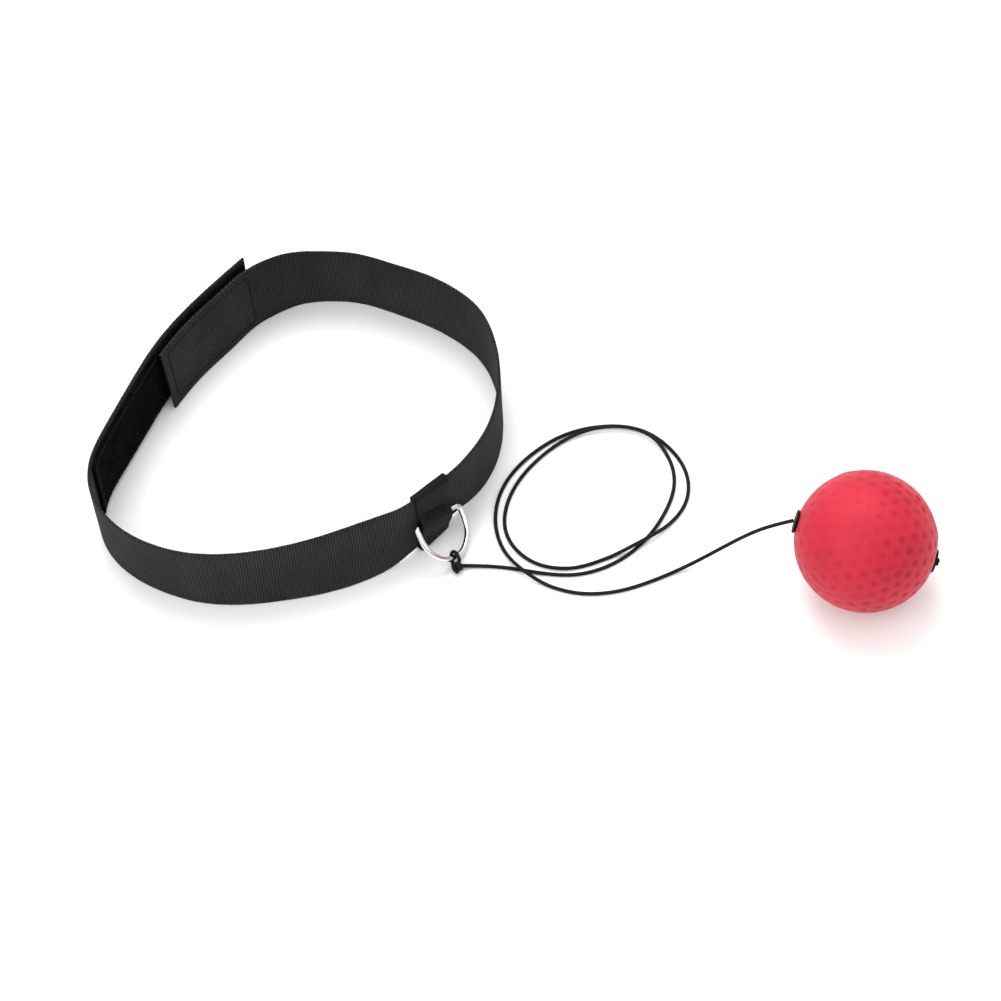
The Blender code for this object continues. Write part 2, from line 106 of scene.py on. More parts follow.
# Tether: the points of its centre line, in order from the ring to the ball
CORD_R = 0.85 * MM
FLOOR_Z = CORD_R
CORD_ROUTE = [
    (-0.0210, -0.0520, 0.0016),
    (-0.0070, -0.0530, FLOOR_Z),
    (0.0100, -0.0570, FLOOR_Z),
    (0.0270, -0.0595, FLOOR_Z),
    (0.0430, -0.0555, FLOOR_Z),
    (0.0570, -0.0455, FLOOR_Z),
    (0.0675, -0.0315, FLOOR_Z),
    (0.0735, -0.0150, FLOOR_Z),
    (0.0715, 0.0000, 0.0010),
    (0.0665, 0.0080, 0.0026),
    (0.0580, 0.0140, 0.0028),
    (0.0450, 0.0160, 0.0026),
    (0.0300, 0.0125, 0.0014),
    (0.0145, 0.0015, FLOOR_Z),
    (0.0015, -0.0170, FLOOR_Z),
    (-0.0010, -0.0365, FLOOR_Z),
    (0.0100, -0.0520, FLOOR_Z),
    (0.0270, -0.0560, FLOOR_Z),
    (0.0430, -0.0515, FLOOR_Z),
    (0.0570, -0.0458, 0.0032),
    (0.0680, -0.0380, 0.0014),
    (0.0770, -0.0270, FLOOR_Z),
    (0.0795, -0.0130, FLOOR_Z),
    (0.0730, 0.0035, FLOOR_Z),
    (0.0605, 0.0145, FLOOR_Z),
    (0.0440, 0.0175, FLOOR_Z),
    (0.0270, 0.0140, FLOOR_Z),
    (0.0120, 0.0045, FLOOR_Z),
    (-0.0005, -0.0105, FLOOR_Z),
    (-0.0055, -0.0290, FLOOR_Z),
    (-0.0025, -0.0455, 0.0015),
    (0.0040, -0.0560, 0.0032),
    (0.0140, -0.0635, 0.0012),
    (0.0280, -0.0690, FLOOR_Z),
    (0.0460, -0.0690, FLOOR_Z),
    (0.0640, -0.0635, FLOOR_Z),
    (0.0790, -0.0585, 0.0037),
    (0.0910, -0.0575, 0.0125),
    (0.1050, -0.0600, 0.0275),
    (0.1190, -0.0618, 0.0360),
]
BRAID_STRANDS = 3                 # half the strands laid each way
BRAID_TURN = 7.6 * MM             # length over which a strand goes once round
BRAID_SIDES = 28
BRAID_STEP = 0.33 * MM

# Ball
BALL_R = 30 * MM
BORE_R = 1.6 * MM
NEAR_FLAT = 0.4 * MM
FAR_FLAT = 0.9 * MM
DIMPLE_R = 2.0 * MM
DIMPLE_DEPTH = 0.42 * MM
# dimples are made shallower, and their painted shade fainter, towards this side
SHALLOW_DIMPLE_SIDE = Vector((-0.45, -0.25, 0.85)).normalized()
SEAM_AXIS = Vector((0.55, 0.83, -0.10)).normalized()
SEAM_OFFSET = 14.8 * MM
SEAM_WIDTH = 0.50 * MM
SEAM_HEIGHT = 0.26 * MM
FOAM_COLUMNS = 460
WASHER_R = 5.0 * MM
WASHER_THICK = 1.0 * MM
WASHER_BEVEL = 0.3 * MM
WASHER_SIDES = 72
CLEARANCE = 0.3 * MM


# ---------------------------------------------------------------- camera, light and floor

def make_camera():
    data = bpy.data.cameras.new("camera")
    data.lens = CAMERA_LENS
    data.sensor_width = CAMERA_SENSOR
    camera = bpy.data.objects.new("camera", data)
    bpy.context.scene.collection.objects.link(camera)
    tilt = Matrix.Rotation(CAMERA_TILT, 4, "X")
    roll = Matrix.Rotation(CAMERA_ROLL, 4, "Z")
    camera.matrix_world = Matrix.Translation(CAMERA_PLACE) @ tilt @ roll
    bpy.context.scene.camera = camera


def make_light(name, place, size, power):
    data = bpy.data.lights.new(name, "AREA")
    data.shape = "DISK"
    data.size = size
    data.energy = power
    lamp = bpy.data.objects.new(name, data)
    lamp.location = place
    lamp.rotation_mode = "QUATERNION"
    lamp.rotation_quaternion = Vector(place).to_track_quat("Z", "Y")
    bpy.context.scene.collection.objects.link(lamp)


def make_sky():
    """A white studio above, with darker walls round the horizon for the bright parts to reflect."""
    world = bpy.data.worlds.new("studio")
    world.use_nodes = True
    tree = world.node_tree
    where = tree.nodes.new("ShaderNodeTexCoord")
    split = tree.nodes.new("ShaderNodeSeparateXYZ")
    ramp = tree.nodes.new("ShaderNodeValToRGB")
    ramp.color_ramp.elements[0].position = 0.16
    ramp.color_ramp.elements[0].color = (0.16, 0.16, 0.16, 1)
    ramp.color_ramp.elements[1].position = 0.42
    ramp.color_ramp.elements[1].color = (1, 1, 1, 1)
    tree.links.new(where.outputs["Generated"], split.inputs[0])
    tree.links.new(split.outputs[2], ramp.inputs[0])
    tree.links.new(ramp.outputs["Color"], tree.nodes["Background"].inputs["Color"])
    tree.nodes["Background"].inputs["Strength"].default_value = 1.25
    return world


def make_studio():
    scene = bpy.context.scene
    scene.view_settings.view_transform = "Standard"
    scene.world = make_sky()
    make_light("top_back_softbox", (-0.15, 0.75, 1.6), 1.1, 17)
    make_light("left_front_softbox", (-1.2, -0.7, 1.1), 0.9, 7)
    bpy.ops.mesh.primitive_plane_add(size=8)
    floor = bpy.context.object
    floor.name = "studio_floor"
    paint = bpy.data.materials.new("floor_paint")
    paint.use_nodes = True
    shader = paint.node_tree.nodes["Principled BSDF"]
    shader.inputs["Base Color"].default_value = (0.93, 0.93, 0.93, 1)
    shader.inputs["Roughness"].default_value = 0.95
    shader.inputs["Specular IOR Level"].default_value = 0.0
    floor.data.materials.append(paint)


# ---------------------------------------------------------------- materials

class Finish:
    """A Principled material under construction; numbers that vary over the surface come in by nodes."""

    def __init__(self, name, **sockets):
        self.material = bpy.data.materials.new(name)
        self.material.use_nodes = True
        self.tree = self.material.node_tree
        self.shader = self.tree.nodes["Principled BSDF"]
        for socket, value in sockets.items():
            self.shader.inputs[socket.replace("_", " ")].default_value = value

    def node(self, kind, inputs=(), **settings):
        made = self.tree.nodes.new("ShaderNode" + kind)
        for name, value in settings.items():
            setattr(made, name, value)
        for socket, value in (inputs.items() if isinstance(inputs, dict) else enumerate(inputs)):
            if isinstance(value, bpy.types.NodeSocket):
                self.tree.links.new(value, made.inputs[socket])
            elif value is not None:
                made.inputs[socket].default_value = value
        return made

    def math(self, operation, first, second=None):
        return self.node("Math", [first, second], operation=operation).outputs[0]

    def noise(self, scale, detail=3.0, where=None):
        inputs = {"Scale": scale, "Detail": detail}
        if where is not None:
            inputs["Vector"] = where
        return self.node("TexNoise", inputs).outputs["Fac"]

    def remap(self, value, low, high, start=0.0, stop=1.0):
        return self.node("MapRange", [value, start, stop, low, high]).outputs[0]

    def colour(self, factor, dark, light, painted_highlight=None):
        ramp = self.node("ValToRGB", [factor])
        ramp.color_ramp.elements[0].color = (*dark, 1)
        ramp.color_ramp.elements[1].color = (*light, 1)
        # an optional third, top colour; the foam uses it for a painted highlight
        if painted_highlight is not None:
            ramp.color_ramp.elements[1].position = 0.78
            ramp.color_ramp.elements.new(1.0).color = (*painted_highlight, 1)
        self.tree.links.new(ramp.outputs["Color"], self.shader.inputs["Base Color"])

    def roughness(self, factor, low, high):
        self.tree.links.new(self.remap(factor, low, high), self.shader.inputs["Roughness"])

    def bump(self, height, strength, distance):
        bump = self.node("Bump", {"Strength": strength, "Distance": distance, "Height": height})
        self.tree.links.new(bump.outputs["Normal"], self.shader.inputs["Normal"])

    def places(self):
        """Position in metres, and the surface coordinates along and across in centimetres."""
        where = self.node("TexCoord")
        split = self.node("SeparateXYZ", [where.outputs["UV"]])
        return where.outputs["Object"], split.outputs[0], split.outputs[1]


def woven(name, dark, light, rib, yarn, strength):
    """Cross-ribbed webbing: yarns lie side by side on each rib, half a yarn out of step with the next; the
    colour has painted shade in the rib valleys and between yarns and a painted highlight on the rib crowns.
    """
    finish = Finish(name, Specular_IOR_Level=0.10, Sheen_Weight=0.03, Sheen_Roughness=0.5)
    where, along, across = finish.places()
    ribs = finish.math("DIVIDE", along, rib)
    crown = finish.math("ABSOLUTE", finish.math("SINE", finish.math("MULTIPLY", ribs, math.pi)))
    step = finish.math("MULTIPLY", finish.math("MODULO", finish.math("FLOOR", ribs), 2.0), math.pi)
    turn = finish.math("ADD", finish.math("MULTIPLY", across, 2 * math.pi / yarn), step)
    strand = finish.remap(finish.math("SINE", turn), 0.35, 1.0, -1.0, 1.0)
    weave = finish.math("MULTIPLY", finish.math("POWER", crown, 1.6), strand)
    fuzz = finish.noise(2600, 2.0, where)
    dust = finish.noise(46, 5.0, where)
    # painted shade and highlight: the colour follows the rib and yarn relief, dark in the valleys and light
    # on the crowns, mottled at random by the dust noise
    shade = finish.math("MULTIPLY", finish.math("ADD", finish.math("MULTIPLY", weave, 0.90), 0.03),
                        finish.remap(dust, 0.72, 1.28, 0.3, 0.7))
    finish.colour(finish.math("ADD", shade, finish.remap(fuzz, -0.10, 0.14)), dark, light)
    finish.roughness(fuzz, 0.70, 0.92)
    finish.bump(finish.math("ADD", weave, finish.math("MULTIPLY", fuzz, 0.35)), strength, 0.00012)
    return finish.material


def napped(name, dark, light):
    """Loop pile: matted fibres, painted lighter on the tuft tips and darker in the gaps between tufts as
    painted shade.
    """
    finish = Finish(name, Roughness=0.95, Specular_IOR_Level=0.03, Sheen_Weight=0.012, Sheen_Roughness=0.35)
    where, _, _ = finish.places()
    tufts = finish.noise(620, 6.0, where)
    drift = finish.noise(60, 3.0, where)
    # painted shade: darker in the gaps between tufts and lighter on their tips, mottled at random by the
    # drift noise
    painted_tuft_shade_and_mottle = finish.math("MULTIPLY", tufts, finish.remap(drift, 0.75, 1.25, 0.3, 0.7))
    finish.colour(finish.remap(painted_tuft_shade_and_mottle, 0.0, 1.0, 0.30, 0.72), dark, light)
    finish.bump(tufts, 0.9, 0.0005)
    return finish.material


def moulded(name, dark, light, low, high):
    """Plastic with a fine moulded grain."""
    finish = Finish(name, Specular_IOR_Level=0.12)
    where, _, _ = finish.places()
    grain = finish.noise(1500, 3.0, where)
    finish.colour(grain, dark, light)
    finish.roughness(finish.noise(120, 4.0, where), low, high)
    finish.bump(grain, 0.35, 0.00005)
    return finish.material


def twisted(name, dark, light, pitch):
    """Thread or braid: plied fibres run slantwise across the surface, the colour painted darker in the
    grooves between plies as painted shade.
    """
    finish = Finish(name, Specular_IOR_Level=0.14, Sheen_Weight=0.02, Sheen_Roughness=0.4)
    where, along, across = finish.places()
    slant = finish.math("ADD", along, across)
    plies = finish.math("ABSOLUTE", finish.math("SINE", finish.math("MULTIPLY", slant, math.pi / pitch)))
    fuzz = finish.noise(1900, 3.0, where)
    # painted shade: the colour darkens in the grooves between plies and lightens on their crowns, with
    # random fuzz
    finish.colour(finish.math("MULTIPLY", plies, finish.remap(fuzz, 0.5, 1.4)), dark, light)
    finish.roughness(fuzz, 0.55, 0.85)
    finish.bump(finish.math("ADD", plies, fuzz), 0.45, 0.00006)
    return finish.material


def plated(name):
    """Bright plated wire with faint handling marks."""
    finish = Finish(name, Metallic=1.0, Base_Color=(0.79, 0.775, 0.76, 1))
    where, _, _ = finish.places()
    marks = finish.noise(900, 4.0, where)
    finish.roughness(finish.noise(150, 5.0, where), 0.035, 0.14)
    finish.bump(marks, 0.05, 0.00003)
    return finish.material


def foam_rubber(name):
    """Red foam: pits are a random deeper red; the dimples are painted a deeper red as shade in their hollows
    and the seam ridge a pale pink as a painted highlight; the skin between is brighter and scuffed.
    """
    finish = Finish(name, Specular_IOR_Level=0.22, Sheen_Weight=0.10, Sheen_Roughness=0.4,
                    Sheen_Tint=(1.0, 0.50, 0.56, 1))
    where, _, _ = finish.places()
    painted_dimple_shade_and_seam_highlight = finish.node("Attribute", attribute_name="dimple").outputs["Fac"]
    pores = finish.noise(1300, 3.0, where)
    cloud = finish.noise(55, 5.0, where)
    skin = finish.remap(cloud, 0.40, 0.68, 0.32, 0.70)
    body = finish.math("SUBTRACT", skin, finish.math("MULTIPLY", painted_dimple_shade_and_seam_highlight, 0.56))
    # painted shade in the dimples and a painted highlight on the seam ridge (the third, pale colour), with
    # random mottle and pores over all
    finish.colour(finish.math("ADD", body, finish.remap(pores, -0.12, 0.08)),
                  (0.36, 0.005, 0.016), (0.57, 0.024, 0.050), (0.76, 0.10, 0.14))
    finish.roughness(cloud, 0.46, 0.66)
    finish.bump(pores, 0.30, 0.00008)
    return finish.material


def make_materials():
    return {
        # webbing and keeper below: dark is painted shade for the rib valleys, light a painted highlight for
        # the rib crowns
        "webbing": woven("ribbed_webbing", (0.0005, 0.0005, 0.0006), (0.046, 0.046, 0.0465),
                         RIB_PITCH * CM, 0.10, 1.0),
        "keeper": woven("keeper_webbing", (0.0006, 0.0006, 0.0007), (0.017, 0.017, 0.0173),
                        KEEPER_RIB * CM, 0.06, 0.8),
        # pile: dark is painted shade in the gaps between tufts
        "pile": napped("loop_pile", (0.0004, 0.0004, 0.0004), (0.0042, 0.0042, 0.0044)),
        "hooks": moulded("hook_tape", (0.0014, 0.0014, 0.0014), (0.0050, 0.0050, 0.0052), 0.42, 0.6),
        # thread and braid below: dark is painted shade in the grooves between plies
        "thread": twisted("sewing_thread", (0.0015, 0.0015, 0.0016), (0.016, 0.016, 0.0165), 0.05),
        "chrome": plated("bright_plate"),
        "braid": twisted("elastic_braid", (0.0010, 0.0010, 0.0011), (0.013, 0.013, 0.0135), 0.026),
        # foam: its colours, painted dimple shade and seam highlight included, are set in foam_rubber
        "foam": foam_rubber("red_foam"),
        "washer": moulded("black_plastic", (0.0015, 0.0015, 0.0015), (0.0042, 0.0042, 0.0043), 0.5, 0.7),
    }


# ---------------------------------------------------------------- meshes

def build(name, points, faces, surface=None, material=None):
    """A smooth closed mesh; surface holds each vertex's coordinates along and across, in metres."""
    mesh = bpy.data.meshes.new(name)
    mesh.from_pydata([tuple(p) for p in points], [], faces)
    bm = bmesh.new()
    bm.from_mesh(mesh)
    bmesh.ops.recalc_face_normals(bm, faces=bm.faces)
    bm.to_mesh(mesh)
    bm.free()
    if surface is not None:
        corners = np.empty(len(mesh.loops), int)
        mesh.loops.foreach_get("vertex_index", corners)
        layer = mesh.uv_layers.new(name="surface")
        layer.data.foreach_set("uv", (np.asarray(surface)[corners] * CM).ravel())
    mesh.shade_smooth()
    obj = bpy.data.objects.new(name, mesh)
    bpy.context.scene.collection.objects.link(obj)
    if material is not None:
        mesh.materials.append(material)
    return obj


def grid_faces(rows, columns, first=0, closed_rows=False):
    """Quads between rows of a grid whose columns close on themselves."""
    count = rows if closed_rows else rows - 1
    row = np.arange(count)[:, None]
    column = np.arange(columns)[None, :]
    after = (column + 1) % columns
    above = (row + 1) % rows
    quads = np.stack([row * columns + column, row * columns + after,
                      above * columns + after, above * columns + column], -1)
    return (quads.reshape(-1, 4) + first).tolist()


def spline(knots, values, places):
    """Natural cubic spline through the values, read at the places."""
    values = np.asarray(values, float)
    gaps = np.diff(knots)
    count = len(knots)
    system = np.eye(count)
    right = np.zeros_like(values)
    for i in range(1, count - 1):
        system[i, i - 1:i + 2] = (gaps[i - 1], 2 * (gaps[i - 1] + gaps[i]), gaps[i])
        right[i] = 6 * ((values[i + 1] - values[i]) / gaps[i] - (values[i] - values[i - 1]) / gaps[i - 1])
    bend = np.linalg.solve(system, right)
    piece = np.clip(np.searchsorted(knots, places, "right") - 1, 0, count - 2)
    gap = gaps[piece][..., None]
    after = (np.asarray(places) - np.asarray(knots)[piece])[..., None]
    left = gap - after
    curve = (bend[piece] * left ** 3 + bend[piece + 1] * after ** 3) / (6 * gap)
    start = (values[piece] / gap - bend[piece] * gap / 6) * left
    stop = (values[piece + 1] / gap - bend[piece + 1] * gap / 6) * after
    return curve + start + stop


def lengths(path):
    return np.concatenate([[0.0], np.cumsum(np.linalg.norm(np.diff(path, axis=0), axis=1))])


def even(path, step):
    """The path with its points evenly spaced, about a step apart."""
    along = lengths(path)
    places = np.linspace(0, along[-1], max(2, round(along[-1] / step) + 1))
    return np.stack([np.interp(places, along, axis) for axis in path.T], 1)


def smooth_path(points, step):
    points = np.asarray(points, float)
    knots = lengths(points)
    return even(spline(knots, points, np.linspace(0, knots[-1], 24 * len(points))), step)


def unit(vectors):
    return vectors / np.linalg.norm(vectors, axis=-1, keepdims=True)


def carried_frames(path):
    """Tangents and a side direction that doesn't twist round the path."""
    tangents = unit(np.gradient(path, axis=0))
    side = unit(np.cross(tangents[0], (0.31, 0.17, 0.93)))
    sides = []
    for tangent in tangents:
        side = unit(side - tangent * np.dot(side, tangent))
        sides.append(side)
    return tangents, np.array(sides)


def tube(path, radius, sides, closed=False, first=0):
    """Points, faces and surface coordinates of a tube; radius may be an array, station by side."""
    tangents, across = carried_frames(path)
    up = np.cross(tangents, across)
    if closed:
        twist = math.atan2(np.dot(across[0], up[-1]), np.dot(across[0], across[-1]))
    else:
        twist = 0.0
    turn = np.linspace(0, 2 * math.pi, sides, endpoint=False)[None, :]
    turn = turn + twist * np.linspace(0, 1, len(path))[:, None]
    radius = np.broadcast_to(radius, turn.shape)
    offset = across[:, None] * np.cos(turn)[..., None] + up[:, None] * np.sin(turn)[..., None]
    points = (path[:, None] + offset * radius[..., None]).reshape(-1, 3)
    faces = grid_faces(len(path), sides, first, closed)
    if not closed:
        last = first + (len(path) - 1) * sides
        faces += [list(range(first, first + sides))[::-1], list(range(last, last + sides))]
    along = np.repeat(lengths(path), sides)
    around = np.tile(np.arange(sides) * (2 * math.pi * float(radius.mean()) / sides), len(path))
    return points, faces, np.column_stack([along, around])


def many_tubes(name, paths, radius, sides, material):
    points, faces, surface = [], [], []
    first = 0
    for path in paths:
        more = tube(np.asarray(path), radius, sides, first=first)
        points.append(more[0])
        faces += more[1]
        surface.append(more[2])
        first += len(more[0])
    return build(name, np.concatenate(points), faces, np.concatenate(surface), material)


def node_points(node):
    """The node's vertices, each place once."""
    points = np.array([tuple(v.co) for v in frame["nodes"][node].data.vertices])
    return np.unique(points.round(6), axis=0)


# ---------------------------------------------------------------- the strap's path

def edge_pairs(points):
    """Corners across the strap's thickness, paired with each other."""
    apart = np.linalg.norm(points[:, None] - points[None], axis=-1)
    np.fill_diagonal(apart, 1.0)
    mate = apart.argmin(1)
    return np.array([(points[i], points[j]) for i, j in enumerate(mate) if i < j and mate[j] == i])


def walk(pairs, beside):
    """The pairs in order along the strap, from the one nearest to a place."""
    middles = pairs.mean(1)
    current = int(np.linalg.norm(middles - beside, axis=1).argmin())
    left = set(range(len(pairs))) - {current}
    order = [current]
    while left:
        current = min(left, key=lambda i: np.linalg.norm(middles[i] - middles[current]))
        left.discard(current)
        order.append(current)
    return pairs[order]


def strap_sections(node, beside):
    """Low and high corner pairs of a strap node's sections, in order from the place."""
    points = node_points(node)
    middle = (points[:, 2].min() + points[:, 2].max()) / 2
    low = walk(edge_pairs(points[points[:, 2] < middle]), beside)
    high = walk(edge_pairs(points[points[:, 2] > middle]), beside)
    count = min(len(low), len(high))
    return low[:count], high[:count]


class Rail:
    """The strap's outer face, from the loop end's tip to the hook end's free edge."""

    def __init__(self):
        band = node_points("headband_strap")
        flap = node_points("hook_end_strap")
        apart = np.linalg.norm(band[:, None] - flap[None], axis=-1)
        root = band[np.unravel_index(apart.argmin(), apart.shape)[0]]
        low, high = strap_sections("headband_strap", root)
        flap_low, flap_high = strap_sections("hook_end_strap", root)
        low = np.concatenate([low[::-1], flap_low[1:]])
        high = np.concatenate([high[::-1], flap_high[1:]])
        band_count = len(low) - len(flap_low) + 1
        middle = (low.mean(1) + high.mean(1)) / 2
        tangent = unit(np.gradient(middle[:, :2], axis=0))
        outward = np.column_stack([tangent[:, 1], -tangent[:, 0]])
        self.low = self.outer_corner(low, outward)
        self.high = self.outer_corner(high, outward)
        self.knots = lengths((self.low + self.high)[:, :2] / 2)
        self.length = self.knots[-1]
        self.root = self.knots[band_count - 1]
        self.dense = np.linspace(0, self.length, 2400)
        self.dense_low, self.dense_high, self.dense_out = self.sample(self.dense)

    @staticmethod
    def outer_corner(pairs, outward):
        reach = np.einsum("ijk,ik->ij", pairs[:, :, :2], outward)
        return pairs[np.arange(len(pairs)), reach.argmax(1)]

    def sample(self, along):
        along = np.clip(along, 0, self.length)
        low = spline(self.knots, self.low, along)
        high = spline(self.knots, self.high, along)
        nearby = 0.5 * MM
        ahead = spline(self.knots, (self.low + self.high) / 2, np.clip(along + nearby, 0, self.length))
        behind = spline(self.knots, (self.low + self.high) / 2, np.clip(along - nearby, 0, self.length))
        tangent = unit((ahead - behind)[..., :2])
        out = np.stack([tangent[..., 1], -tangent[..., 0], np.zeros(tangent.shape[:-1])], -1)
        return low, high, out

    def place(self, along, height, offset):
        """Points at distances along the strap; height is measured on its full width."""
        along, height, offset = np.broadcast_arrays(along, height, offset)
        low, high, out = self.sample(along)
        return low + (high - low) * (height / STRAP_WIDTH)[..., None] + out * offset[..., None]

    def locate(self, points, start, stop):
        """Distance along, height and offset of points on or near a stretch of the strap."""
        chosen = np.flatnonzero((self.dense >= start) & (self.dense <= stop))
        low, high = self.dense_low[chosen], self.dense_high[chosen]
        found = []
        for group in np.array_split(points, max(1, len(points) // 2000)):
            share = (group[:, 2] / STRAP_WIDTH)[:, None, None]
            face = low[None] * (1 - share) + high[None] * share
            near = np.linalg.norm((face - group[:, None])[..., :2], axis=-1).argmin(1)
            base = face[np.arange(len(group)), near]
            off = np.einsum("ij,ij->i", (group - base)[:, :2], self.dense_out[chosen][near][:, :2])
            found.append(np.column_stack([self.dense[chosen][near], group[:, 2], off]))
        return np.concatenate(found)

    def reach(self, node, start, stop):
        """Lowest and highest distance along, height and offset of a node."""
        found = self.locate(node_points(node), start, stop)
        return found.min(0), found.max(0)


# ---------------------------------------------------------------- webbing

def webbing_section(thickness, width, face_rows, arc_rows):
    """Heights, offsets and outward directions round a flat section with rounded selvedges."""
    radius = thickness / 2
    faces = np.linspace(radius, width - radius, face_rows)
    turns = np.linspace(0, math.pi, arc_rows + 2)[1:-1]
    up, out = np.sin(turns), np.cos(turns)
    flat, full = np.zeros(face_rows), np.ones(face_rows)
    way_up = np.concatenate([flat, up, flat, -up])
    way_out = np.concatenate([full, out, -full, -out])
    top, bottom = np.full(arc_rows, width - radius), np.full(arc_rows, radius)
    centre = np.concatenate([faces, top, faces[::-1], bottom])
    return centre + radius * way_up, radius * (way_out - 1), way_up, way_out


def sweep(name, rail, along, heights, offsets, material):
    """A closed section carried along the strap, both ends sealed."""
    points = rail.place(along[:, None], heights, offsets)
    count = points.shape[1]
    faces = grid_faces(len(along), count)
    last = (len(along) - 1) * count
    faces += [list(range(count))[::-1], list(range(last, last + count))]
    surface = np.stack([np.broadcast_to(along[:, None], heights.shape), heights], -1).reshape(-1, 2)
    return build(name, points.reshape(-1, 3), faces, surface, material)


def ribbed_webbing(name, rail, start, stop, material):
    """Webbing whose cross-ribs stand on both faces and bead its selvedges."""
    step = RIB_PITCH / COLUMNS_A_RIB
    along = np.append(np.arange(start, stop - step / 2, step), stop)
    rise, depth, way_up, way_out = webbing_section(STRAP_THICK, STRAP_WIDTH, 15, 5)
    ribs = along / RIB_PITCH
    crown = np.abs(np.sin(ribs * math.pi))[:, None] ** 0.7
    uneven = RNG.normal(1.0, 0.10, int(ribs[-1]) + 2)[ribs.astype(int)][:, None]
    sink = RIB_DEPTH * (1 - crown) * uneven
    ripple = RIPPLE * np.sin(along * 2 * math.pi / 0.023 + rise[None, :].T * 90).T
    heights = rise[None] - way_up[None] * sink * 1.5
    offsets = depth[None] - way_out[None] * (sink + np.abs(ripple))
    melt = np.minimum(1.0, np.minimum(along, rail.length - along) / END_REACH)[:, None]
    middle = -STRAP_THICK / 2
    offsets = middle + (offsets - middle) * (END_THICKNESS + (1 - END_THICKNESS) * melt)
    return sweep(name, rail, along, heights, offsets, material)


def sewn_patch(name, rail, low, high, relief, material, step):
    """A flat tape on the strap, its free face given relief; low and high bound it on the strap."""
    along = np.linspace(low[0], high[0], round((high[0] - low[0]) / step) + 1)
    across = np.linspace(low[1], high[1], round((high[1] - low[1]) / step) + 1)
    outer = low[2] > -STRAP_THICK / 2
    base, face = (low[2], high[2]) if outer else (high[2], low[2])
    way = 1.0 if outer else -1.0
    heights = np.concatenate([across, across[::-1]])
    level = np.concatenate([np.full(len(across), face), np.full(len(across), base)])
    offsets = np.broadcast_to(level, (len(along), len(level))).copy()
    edge = np.minimum(np.minimum(along - along[0], along[-1] - along)[:, None],
                      np.minimum(across - across[0], across[-1] - across)[None])
    rounding = np.clip(edge / PATCH_BEVEL_REACH, 0, 1)
    offsets[:, :len(across)] -= way * (relief(along, across) + PATCH_BEVEL * (1 - rounding) ** 2)
    heights = np.broadcast_to(heights, offsets.shape)
    return sweep(name, rail, along, heights, offsets, material)


def pile_relief(along, across):
    """Low tufts: ten waves that cross one another, with seeded lengths and phases."""
    height = np.zeros((len(along), len(across)))
    for _ in range(10):
        pull = RNG.uniform(900, 3200, 2) * RNG.choice([-1, 1], 2)
        phase = RNG.uniform(0, 2 * math.pi)
        height += np.sin(along[:, None] * pull[0] + across[None] * pull[1] + phase)
    return 0.14 * MM + 0.045 * MM * height / 2


def pile_loops(rail, low, high, material):
    """The nap's fibre loops, standing on the patch's free face."""
    count = PILE_FIBRES
    along = RNG.uniform(low[0] + 0.6 * MM, high[0] - 0.6 * MM, count)
    height = RNG.uniform(low[1] + 0.6 * MM, high[1] - 0.6 * MM, count)
    span = RNG.uniform(0.35, 0.75, count) * MM
    rise = RNG.uniform(0.10, 0.26, count) * MM
    way = RNG.uniform(0, 2 * math.pi, count)
    places = np.linspace(-1, 1, 5)[None]
    face = low[2] + 0.22 * MM
    points = rail.place(along[:, None] + span[:, None] * places * np.cos(way)[:, None] / 2,
                        height[:, None] + span[:, None] * places * np.sin(way)[:, None] / 2,
                        face - rise[:, None] * (1 - places ** 2))
    return many_tubes("pile_loops", points, 0.045 * MM, 3, material)


def hooks(rail, low, high, material):
    """Rows of moulded hooks on the tape's free face."""
    rows = np.arange(low[1] + HOOK_PITCH, high[1] - HOOK_PITCH, HOOK_PITCH)
    columns = np.arange(low[0] + HOOK_PITCH, high[0] - HOOK_PITCH, HOOK_PITCH)
    turns = np.linspace(0, 1.15 * math.pi, 6)
    crook = 0.16 * MM
    paths = []
    base = high[2] - HOOK_STAND
    for row, height in enumerate(rows):
        lean = crook if row % 2 else -crook
        lift = np.concatenate([[0.0, 0.12 * MM], 0.22 * MM + crook * np.sin(turns)])
        slide = np.concatenate([[0.0, 0.0], lean * (1 - np.cos(turns))])
        for column in columns:
            paths.append(rail.place(column + slide, np.full(len(slide), height), base + lift))
    return many_tubes("hook_rows", paths, 0.07 * MM, 5, material)


def stitch_paths(rail, line, offset, way, lift):
    """Separate stitches along a line of (distance, height) points; each dips into the cloth at its ends."""
    line = even(np.asarray(line, float), STITCH_PITCH)
    paths = []
    share = np.linspace(0.09, 0.91, 7)[:, None]
    arch = np.sin(share[:, 0] * math.pi) ** 0.5
    for start, stop in zip(line[:-1], line[1:]):
        points = start * (1 - share) + stop * share
        rise = offset + way * (-0.32 * MM + (0.32 * MM + lift) * arch)
        paths.append(rail.place(points[:, 0], points[:, 1], rise))
    return paths


def box_line(low, high, inset):
    left, right = low[0] + inset, high[0] - inset
    bottom, top = low[1] + inset, high[1] - inset
    return [(left, bottom), (right, bottom), (right, top), (left, top), (left, bottom)]


def patch_stitches(name, rail, low, high, material):
    """A box of stitching round a patch, seen on the patch's face and on the strap's other side."""
    outer = low[2] > -STRAP_THICK / 2
    way = 1.0 if outer else -1.0
    face = high[2] if outer else low[2]
    back = -STRAP_THICK if outer else 0.0
    line = box_line(low, high, STITCH_INSET)
    paths = stitch_paths(rail, line, face, way, lift=-0.05 * MM)
    paths += stitch_paths(rail, line, back, -way, lift=0.03 * MM)
    return many_tubes(name, paths, THREAD_R, 6, material)


